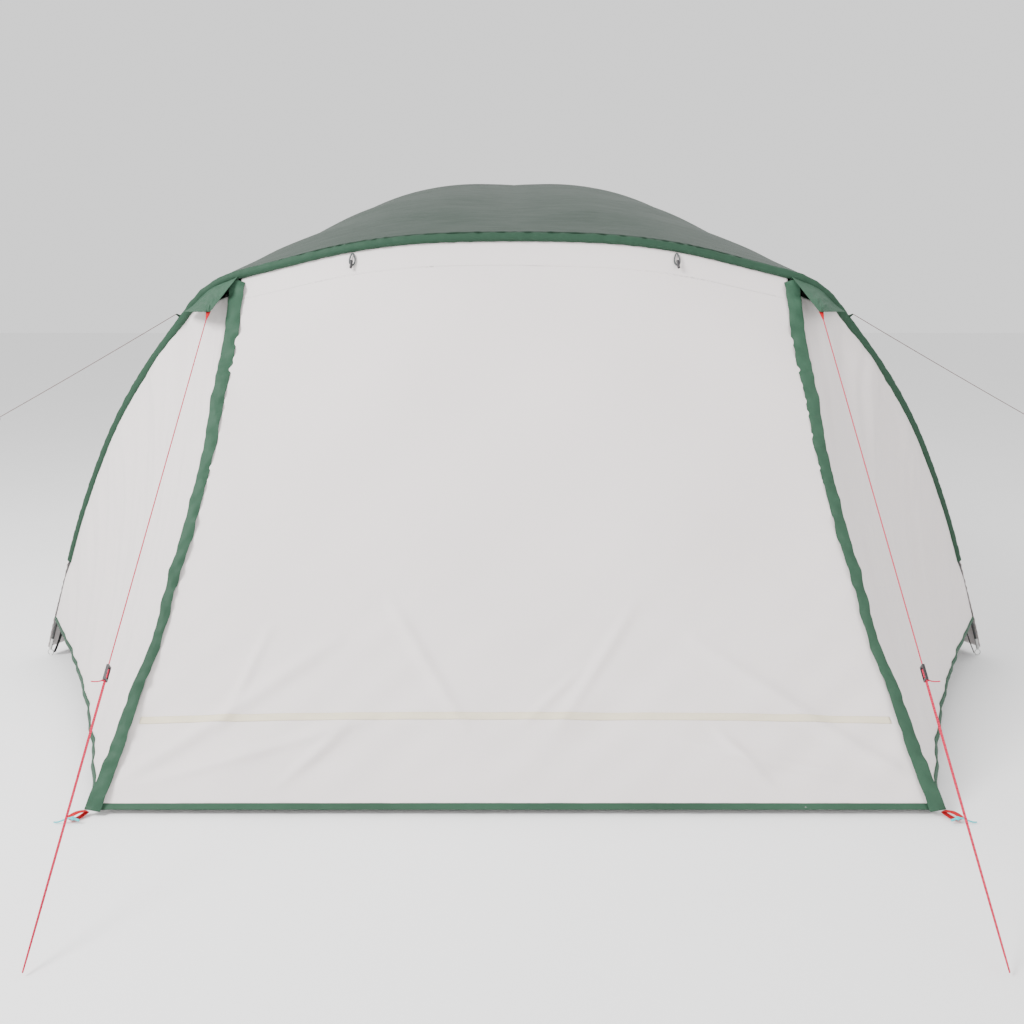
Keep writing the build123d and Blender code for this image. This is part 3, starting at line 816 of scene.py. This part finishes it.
def canopy_grid(side, low, high, rows, sag, wrinkle):
    """One side of the canopy with its dips, its folds and the tucks beside the sleeve."""
    share = np.linspace(low, high, rows)[:, None]
    across = np.concatenate([np.linspace(0, 1, 50), np.linspace(1, 2, 70)[1:], np.linspace(2, 3, 50)[1:]])[None]
    share, across = np.broadcast_arrays(share, across)
    span = np.linalg.norm(front_leg(side, share) - hoop_at(side, share), axis=-1)
    first = np.clip(SEAM_START / span, 0, 0.9)
    moved = np.where(across < 1, first + (1 - first) * across, across)
    points, dip = canopy(side, share, moved)
    inward = -unit(points - INSIDE)
    u, v = points[..., 1], points[..., 2] + np.abs(points[..., 0])
    tucks = waves(share * 2.6, across * 0.2, CANOPY_SEED, 5, 0.03, 0.09, 0.5)
    tucks = tucks * np.exp(-np.clip(across, 0, 9) * span / TUCK_REACH)
    folds = waves(u, v, CANOPY_SEED + 1, 7, 0.25, 0.9) * wrinkle
    held = np.clip(np.minimum(np.abs(across - 1), np.abs(across - 2)) * 6, 0, 1)
    fade = np.clip((1 - share) * 12, 0, 1) * np.clip(np.abs(points[..., 0]) * 8, 0, 1)
    depth = sag * dip + folds * held * fade + TUCK_HEIGHT * tucks * (across < 1)
    points = points + inward * depth[..., None]
    points[..., 0] = np.where(across >= 3, 0, points[..., 0])
    if high >= 1:
        points[-1, :, 0] = 0
    return points


def canopy_piece(name, low, high, rows, material, sag, wrinkle, thick):
    """Both sides of the canopy between two heights, as one sheet of cloth."""
    grids = [canopy_grid(side, low, high, rows, sag, wrinkle) for side, _ in SIDES]
    halves = []
    for grid in grids:
        faces = outward_faces(grid, grid_faces(*grid.shape[:2]))
        halves.append(new_object(name, grid, faces, cut_uv(grid), material))
    obj = joined(name, halves)
    add_thickness(obj, thick)
    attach(obj, "tent")
    return obj, grids


class TENT_OT_roof(TentOperator, bpy.types.Operator):
    """Green roof, one continuous sheet over both dome poles and forward to the hoop"""
    bl_idname = "tent.roof"
    bl_label = "Roof"

    def make(self, sizes):
        roof, grids = canopy_piece("roof", SPLIT, 1.0, 90, finish_of("roof"), sizes.sag, ROOF_FOLD, sizes.cloth)
        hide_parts("roof_front_left", "roof_front_right", "roof_left", "roof_right", "roof_rear")
        declare_sheet(grids)


class TENT_OT_walls(TentOperator, bpy.types.Operator):
    """Pale walls round the sides and the back"""
    bl_idname = "tent.walls"
    bl_label = "Walls"

    def make(self, sizes):
        walls, grids = canopy_piece("walls", 0.004, SPLIT - 0.001, 80, finish_of("wall"), sizes.sag * WALL_SAG,
                                    WALL_FOLD, sizes.cloth)
        names = ["wall_front_left", "wall_front_right", "wall_left", "wall_right", "wall_rear"]
        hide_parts(*names)
        declare_sheet(grids)
        for side, name in SIDES:
            grid = canopy_grid(side, SPLIT - 0.004, SPLIT + 0.004, 4, sizes.sag * WALL_SAG, WALL_FOLD)
            lifted = outwards(grid, 0.0018)
            band = cloth_object("eaves_tape_" + name, lifted, finish_of("binding"), 0.001)
            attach(band, "tent")


class TENT_OT_sleeve(TentOperator, bpy.types.Operator):
    """Gathered green sleeve over the hoop"""
    bl_idname = "tent.sleeve"
    bl_label = "Hoop sleeve"

    def make(self, sizes):
        share = np.linspace(SLEEVE_START, 1 - SLEEVE_START, 900)
        path = along(HOOP, share)
        ahead = unit(np.gradient(path, axis=0))
        plane = unit(np.cross(ahead, (0, 1, -HOOP_LEAN)))
        front = np.cross(ahead, plane)
        angle = np.linspace(0, 2 * math.pi, 28, endpoint=False)[None]
        far = (share * HOOP[1][-1])[:, None]
        radius = 0.0114 + 0.0012 * np.cos(2 * angle) + 0.0009 * waves(far, angle * 0.012, 21, 8, 0.018, 0.07, 1.2)
        ring = plane[:, None] * np.cos(angle)[..., None] + front[:, None] * np.sin(angle)[..., None]
        points = path[:, None] + ring * radius[..., None]
        faces = grid_faces(*points.shape[:2], wrap=True)
        near_end = faces[:SLEEVE_TEST_FACES]
        if not np.array_equal(outward_faces(points, near_end, path[5]), near_end):
            faces = faces[:, ::-1]
        uv = np.stack(np.broadcast_arrays(far, angle * 0.012), -1)
        sleeve = new_object("hoop_sleeve_cloth", points, faces, uv, finish_of("sleeve"))
        add_thickness(sleeve, 0.001)
        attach(sleeve, "tent")
        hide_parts("hoop_sleeve")
        declare_sheet([points])


def door_wrinkles(across, up, height):
    """Soft dips of the whole door, with creases that run from its lower corners and hang over the tape."""
    u, v = across * 0.95, up * DOOR_LENGTH
    soft = waves(u, v, 31, 8, 0.35, 1.1) * 0.9
    low = np.exp(-(v / 0.45) ** 2)
    fine = waves(u, v * 1.4, 37, 9, 0.10, 0.30) * low * 0.7
    ridges = sum(tall * crease(u, v, a, b, width) for a, b, width, tall in DOOR_CREASES)
    edges = np.clip(up * 14, 0, 1) * np.clip((0.99 - up) * 14, 0, 1) * np.clip((1 - np.abs(across)) * 14, 0, 1)
    belly = -0.010 * np.sin(math.pi * np.clip(up, 0, 1)) * (1 - across ** 2)
    return (height * (soft + fine + ridges)) * edges + belly


def door_grid(low, high, rows, columns, margin, lift, height):
    up = np.linspace(low, high, rows)[:, None]
    across = np.linspace(-1, 1, columns)[None] * door_reach(up, margin)
    across, up = np.broadcast_arrays(across, up)
    raised = lift + door_wrinkles(across, up, height)
    return door_at(across, up) + DOOR_NORMAL * raised[..., None]


class TENT_OT_door(TentOperator, bpy.types.Operator):
    """Front door with its tape and hem, and the strip it hangs from"""
    bl_idname = "tent.door"
    bl_label = "Door"

    def make(self, sizes):
        hem, tape = HEM / DOOR_LENGTH, TAPE_HEIGHT / DOOR_LENGTH
        half_tape = TAPE_WIDTH / 2 / DOOR_LENGTH
        tall = sizes.door_wrinkle
        panel_grid = door_grid(0.004, DOOR_END, 260, 260, ZIP_HALF - 0.004, 0, tall)
        panel = cloth_object("door_panel_cloth", panel_grid, finish_of("pale"), sizes.cloth, BEHIND_DOOR)
        hem_grid = door_grid(0.0, hem, 8, 300, ZIP_HALF - 0.006, 0.0012, tall)
        ruffle = 0.0012 * waves(hem_grid[..., 0], hem_grid[..., 2], 41, 6, 0.03, 0.12)
        hem_grid = hem_grid + DOOR_NORMAL * ruffle[..., None]
        border = cloth_object("door_hem_tape", hem_grid, finish_of("green"), 0.0016, BEHIND_DOOR)
        tape_grid = door_grid(tape - half_tape, tape + half_tape, 8, 300, ZIP_HALF + 0.02, 0.0014, tall)
        band = cloth_object("door_seam_tape_cloth", tape_grid, finish_of("tape"), 0.001, BEHIND_DOOR)
        head_grid = door_grid(0.953, 1.004, 24, 260, ZIP_HALF, 0, tall)
        head = cloth_object("door_header_cloth", head_grid, finish_of("pale"), sizes.cloth, BEHIND_DOOR)
        moving = [(panel, "door_panel"), (border, "door_hem"), (band, "door_seam_tape")]
        top = door_at(0.0, DOOR_END)
        for piece, node in moving:
            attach(piece, "tent")
            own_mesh(piece)
            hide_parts(node)
        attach(head, "tent")
        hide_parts("door_header")
        declare_sheet([panel_grid])
        declare_sheet([head_grid])


class TENT_OT_porch_sides(TentOperator, bpy.types.Operator):
    """Porch side walls with their green hems"""
    bl_idname = "tent.porch_sides"
    bl_label = "Porch sides"

    def grid(self, side, low, high, rows, columns, height, lift=0.0):
        share = np.linspace(low, high, rows)[:, None]
        part = np.linspace(0, 1, columns)[None]
        share, part = np.broadcast_arrays(share, part)
        start = edge_at(side, share) - DOOR_NORMAL * 0.003
        end = hoop_at(side, HEM_SHARE + (SIDE_TOP_SHARE - HEM_SHARE) * share)
        span = np.linalg.norm(end - start, axis=-1, keepdims=True)
        over = np.clip((0.20 - share) / 0.06, 0, 1)[..., None]
        first, last = (ZIP_HALF - 0.004) / span, 1 - (SLEEVE_R - 0.003 - 0.017 * over) / span
        points = start + (end - start) * (first + (last - first) * part[..., None])
        points = points + np.array([0, -0.012, 0]) * over * np.clip(part[..., None] * 4 - 3, 0, 1)
        outward = unit(np.cross(end - start, DOOR_EDGE * np.array([side, 1, 1]))) * -side
        outward = np.where(outward[..., 1:2] > 0, -outward, outward)
        wide = part * span[..., 0]
        folds = waves(wide, share * DOOR_LENGTH * 0.35, 51, 9, 0.09, 0.34, 0.7)
        small = waves(wide, share * DOOR_LENGTH * 0.5, 57, 8, 0.04, 0.10, 0.9) * 0.25
        held = np.clip(part * 9, 0, 1) * np.clip((1 - part) * 9, 0, 1) * np.clip((0.98 - share) * 8, 0, 1)
        held = held * np.clip(0.25 + share * 6, 0, 1)
        dip = -0.03 * span[..., 0] * np.sin(math.pi * part)
        depth = lift + (folds + small) * height * held + dip * np.clip((1 - share) * 4, 0, 1)
        return points + outward * depth[..., None]

    def make(self, sizes):
        hem = HEM / DOOR_LENGTH
        for side, name in SIDES:
            grid = self.grid(side, 0.002, 0.975, 220, 120, sizes.wall_wrinkle)
            wall = cloth_object("porch_side_cloth_" + name, grid, finish_of("wall"), sizes.cloth)
            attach(wall, "tent")
            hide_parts("porch_side_" + name)
            edge = self.grid(side, 0.0, hem, 6, 160, sizes.wall_wrinkle, 0.0014)
            border = cloth_object("porch_hem_cloth_" + name, edge, finish_of("green"), 0.005)
            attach(border, "tent")
            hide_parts("porch_hem_" + name)
            declare_sheet([grid])


class TENT_OT_flaps(TentOperator, bpy.types.Operator):
    """Creased green storm flaps over the zips"""
    bl_idname = "tent.flaps"
    bl_label = "Storm flaps"

    def make(self, sizes):
        for side, name in SIDES:
            share = np.linspace(-0.002, 0.995, 420)[:, None]
            part = np.linspace(-1, 1, 26)[None]
            share, part = np.broadcast_arrays(share, part)
            far = share * DOOR_LENGTH
            wide = np.interp(share, FLAP_SHARES, FLAP_HALVES) + 0.0014 * waves(far, part * 0.3, 61, 6, 0.04, 0.16, 0.3)
            kinks = 0.004 * waves(far, 0 * part, 67, 5, 0.16, 0.5, 0.1)
            shift = part * wide + kinks * np.clip(share * 8, 0, 1) * np.clip((1 - share) * 8, 0, 1)
            creases = waves(far, part * 0.024, 63, 12, 0.022, 0.085, 2.0) * sizes.flap_wrinkle
            crown = 0.003 * (1 - part ** 2)
            lift = np.maximum(FLAP_LIFT + crown + creases * (0.5 + 0.5 * np.abs(part)), FLAP_FLOOR)
            inward = on_side(np.broadcast_to(DOOR_INWARD, share.shape + (3,)), side)
            points = edge_at(side, share) + inward * shift[..., None] + DOOR_NORMAL * lift[..., None]
            flap = cloth_object("storm_flap_cloth_" + name, points, finish_of("green"), sizes.cloth,
                                BEHIND_DOOR)
            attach(flap, "tent")
            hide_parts("storm_flap_" + name)
            declare_sheet([points])


class TENT_OT_visors(TentOperator, bpy.types.Operator):
    """Green corner visors that shade the tops of the zips"""
    bl_idname = "tent.visors"
    bl_label = "Corner visors"

    def make(self, sizes):
        tab = np.array(FRONT_GUY[0])
        upper = edge_at(1, 1.0) + DOOR_NORMAL * (FLAP_LIFT + 0.008)
        reach = share_where_x(DOOR_TOP_X + VISOR_REACH)
        leg = hoop_at(1, reach) + np.array([0.010, -SLEEVE_R - 0.010, -0.004])
        inner, outer = tab + np.array([-0.008, 0.008, 0.016]), tab + np.array([0.008, 0.008, 0.016])
        down, part = np.meshgrid(np.linspace(0, 1, 60), np.linspace(0, 1, 60), indexing="ij")
        d, p = down[..., None], part[..., None]
        a, b = upper + (inner - upper) * d, leg + (outer - leg) * d
        arch = hoop_at(1, DOOR_TOP_SHARE + (reach - DOOR_TOP_SHARE) * part) + np.array([0, -0.012, -0.006])
        flat = a + (b - a) * p
        follow = (1 - d) ** 2
        top_row = upper + (leg - upper) * p
        points = flat + (arch - top_row) * follow * np.sin(math.pi * p)
        ripple = waves(down * 0.16, part * 0.25, 71, 8, 0.03, 0.11) * 0.003
        held = np.sin(math.pi * np.clip(part, 0.02, 0.98)) * np.clip(down * 6, 0, 1)
        points = points + DOOR_NORMAL * ((ripple + 0.010 * np.sin(math.pi * down)) * held)[..., None]
        for side, name in SIDES:
            grid = on_side(points, side)
            piece = cloth_object("visor_cloth_" + name, grid, finish_of("green"), sizes.cloth)
            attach(piece, "tent")
            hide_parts("visor_gusset_" + name)
            declare_sheet([grid])


class TENT_OT_webbing(TentOperator, bpy.types.Operator):
    """Peg loops and their tails, guyline tabs, foot straps and the bands on the dome poles"""
    bl_idname = "tent.webbing"
    bl_label = "Webbing"

    def loop(self, name, centre, out, material):
        """Flattened ring of webbing, pulled outwards and pinched where it is sewn."""
        turn = np.linspace(0, 2 * math.pi, 72)[:, None]
        reach, height = 0.026, 0.0075
        pinch = 1 - 0.45 * np.clip(-np.cos(turn), 0, 1)
        path = centre + out * reach * np.cos(turn) + np.array([0, 0, 1]) * height * np.sin(turn) * pinch
        return webbing(name, path, np.cross(out, (0, 0, 1)), 0.016, 0.0016, material)

    def make(self, sizes):
        pieces = []
        for side in (1, -1):
            for end, x, y in ((-1, CORNER[0] + 0.014, CORNER[1]), (1, HALF_WIDTH - DOME_INSET, REAR_FOOT_Y + 0.016)):
                out = unit(np.array([side * (0.75 if end < 0 else 0.15), end, 0.0]))
                centre = np.array([side * x, y, 0.0115]) + out * 0.029
                pieces.append(self.loop("peg_loop", centre, out, finish_of("red")))
        loops = joined("peg_loop_webbing", pieces)
        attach(loops, "tent")
        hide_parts("peg_loops")
        tabs, ears, tails, straps = [], [], [], []
        for side in (1, -1):
            mirror = np.array([side, 1, 1])
            end = np.array(FRONT_GUY[0])
            run = unit(np.array(FRONT_GUY[1]) - end)
            path = (end - run * 0.024 * np.linspace(1, -0.3, 24)[:, None]) * mirror
            taper = np.linspace(0.014, 0.0045, 24)
            tabs.append(webbing("tab", path, np.cross(run * mirror, (0, 0, 1)), taper, 0.0022, finish_of("red")))
            root, end = hoop_at(side, SIDE_TAB_SHARE), np.array(SIDE_GUY[0]) * mirror
            path = root + (end - root) * np.linspace(0.42, 1.0, 16)[:, None]
            tangent = hoop_at(side, SIDE_TAB_SHARE + 0.002) - root
            ears.append(webbing("ear", path, tangent, np.linspace(0.010, 0.004, 16), 0.0018, finish_of("binding")))
            t = np.linspace(0, 1, 50)[:, None]
            knot = np.array([CORNER[0] + 0.034, CORNER[1] - 0.050, 0.010])
            path = knot + (t - 0.25) * np.array([0.066, 0.004, 0.0]) + np.array([0, 0, 0.006]) * np.sin(5 * t)
            size = 0.0030 - 0.0014 * t[:, 0] + 0.0028 * np.exp(-((t[:, 0] - 0.25) / 0.06) ** 2)
            tails.append(tube("tail", path * mirror, size, (0, 0, 1), finish_of("cyan"), 12))
            a = np.array([HALF_WIDTH - 0.0135, HOOP_FOOT_Y, 0.0115])
            b = hoop_at(1, HEM_SHARE) + np.array([-SLEEVE_R - 0.010, 0, -0.010])
            path = (a + (b - a) * t + np.array([-0.004, 0, 0]) * np.sin(math.pi * t)) * mirror
            straps.append(webbing("strap", path, (0.5, 1, 0), 0.012, 0.0022, finish_of("black")))
        for name, group, node in (("guy_tab_webbing", tabs, "guy_tabs"), ("side_tab_webbing", ears, "side_guy_tabs"),
                                  ("loop_tail_cord", tails, "loop_tails"),
                                  ("foot_strap_webbing", straps, "foot_webbing")):
            piece = joined(name, group)
            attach(piece, "tent")
            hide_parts(node)
        self.ties()

    def ties(self):
        bands = []
        for i in range(3):
            for place in ((i + 0.5) / 7, 1 - (i + 0.5) / 7):
                half = 0.0125 / DOME[1][-1]
                path = along(DOME, np.linspace(place - half, place + half, 9))
                swell = 0.0060 + 0.0005 * np.sin(np.linspace(0, math.pi, 9))
                bands.append(tube("band", path, swell, (1, 0.7, 0), finish_of("black"), 24))
                under = path * np.array([-1, 1, 1]) - np.array([0, 0, 0.016]) * (path[:, 2:3] / APEX)
                bands.append(tube("band", under, swell, (-1, 0.7, 0), finish_of("black"), 24))
        piece = joined("pole_tie_bands", bands)
        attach(piece, "tent")
        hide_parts("pole_ties")


class TENT_OT_toggles(TentOperator, bpy.types.Operator):
    """Elastic loops of the two door toggles"""
    bl_idname = "tent.toggles"
    bl_label = "Door toggles"

    def make(self, sizes):
        for side, name in SIDES:
            low, high = (np.array(p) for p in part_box("toggle_loop_" + name))
            centre = (low + high) / 2
            reach, half = 0.0195, 0.0100
            turn = np.linspace(0, 2 * math.pi, 80)[:, None]
            pinch = 0.55 + 0.45 * (0.5 - 0.5 * np.sin(turn))
            path = centre + DOOR_UP * reach * np.sin(turn) + np.array([1, 0, 0]) * half * np.cos(turn) * pinch
            loop = webbing("toggle_elastic_" + name, path, DOOR_NORMAL, 0.0030, 0.0046, finish_of("grey"))
            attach(loop, "toggle_" + name)
            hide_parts("toggle_loop_" + name)
        dress("plastic", "toggle_left", "toggle_right")


class TENT_OT_groundsheet(TentOperator, bpy.types.Operator):
    """Groundsheet inside the cabin"""
    bl_idname = "tent.groundsheet"
    bl_label = "Groundsheet"

    def make(self, sizes):
        low, high = (np.array(p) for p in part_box("groundsheet"))
        x, y = np.meshgrid(np.linspace(low[0], high[0], 120), np.linspace(low[1], high[1], 90))
        z = 0.0018 + 0.0006 * waves(x, y, 81, 9, 0.15, 0.6)
        grid = np.stack([x, y, z], -1)
        piece = cloth_object("groundsheet_cloth", grid, finish_of("floor"), 0.001, np.array([0, 0.6, -1]))
        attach(piece, "tent")
        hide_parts("groundsheet")
        declare_sheet([grid])


class TENT_OT_hardware(TentOperator, bpy.types.Operator):
    """Finishes of the poles, metal parts, runners, zip coils and zip sliders"""
    bl_idname = "tent.hardware"
    bl_label = "Hardware"

    def make(self, sizes):
        poles = ("hoop_pole", "dome_pole_over", "dome_pole_under")
        dress("fibreglass", *[p + "_sections" for p in poles])
        dress("steel", *[p + "_ferrules" for p in poles], "pole_tips", "foot_ring_pins")
        dress("elastic", *[p + "_elastic_cord" for p in poles])
        dress("plastic", "runner_left", "runner_right")
        dress("zip", "zip_coil_left", "zip_coil_right")
        dress("slider", "zip_slider_left", "zip_slider_right")


OPERATORS = (TENT_OT_stage, TENT_OT_guylines, TENT_OT_roof, TENT_OT_walls, TENT_OT_sleeve, TENT_OT_door,
             TENT_OT_porch_sides, TENT_OT_flaps, TENT_OT_visors, TENT_OT_webbing, TENT_OT_toggles,
             TENT_OT_groundsheet, TENT_OT_hardware)


class TENT_PT_panel(bpy.types.Panel):
    """Lists the tent's pieces"""
    bl_idname = "TENT_PT_panel"
    bl_label = "Dome tent"
    bl_space_type = "VIEW_3D"
    bl_region_type = "UI"
    bl_category = "Tent"

    def draw(self, context):
        for group in (context.scene.tent_sizes, context.scene.tent_colours):
            for key in group.__annotations__:
                self.layout.prop(group, key)
        for operator in OPERATORS:
            self.layout.operator(operator.bl_idname)


CLASSES = (TentSizes, TentColours, *OPERATORS, TENT_PT_panel)


def register():
    for c in CLASSES:
        bpy.utils.register_class(c)
    bpy.types.Scene.tent_sizes = bpy.props.PointerProperty(type=TentSizes)
    bpy.types.Scene.tent_colours = bpy.props.PointerProperty(type=TentColours)


def unregister():
    del bpy.types.Scene.tent_colours
    del bpy.types.Scene.tent_sizes
    for c in reversed(CLASSES):
        bpy.utils.unregister_class(c)


def main():
    register()
    for operator in OPERATORS:
        group, name = operator.bl_idname.split(".")
        getattr(getattr(bpy.ops, group), name)()


if __name__ == "__main__":
    main()
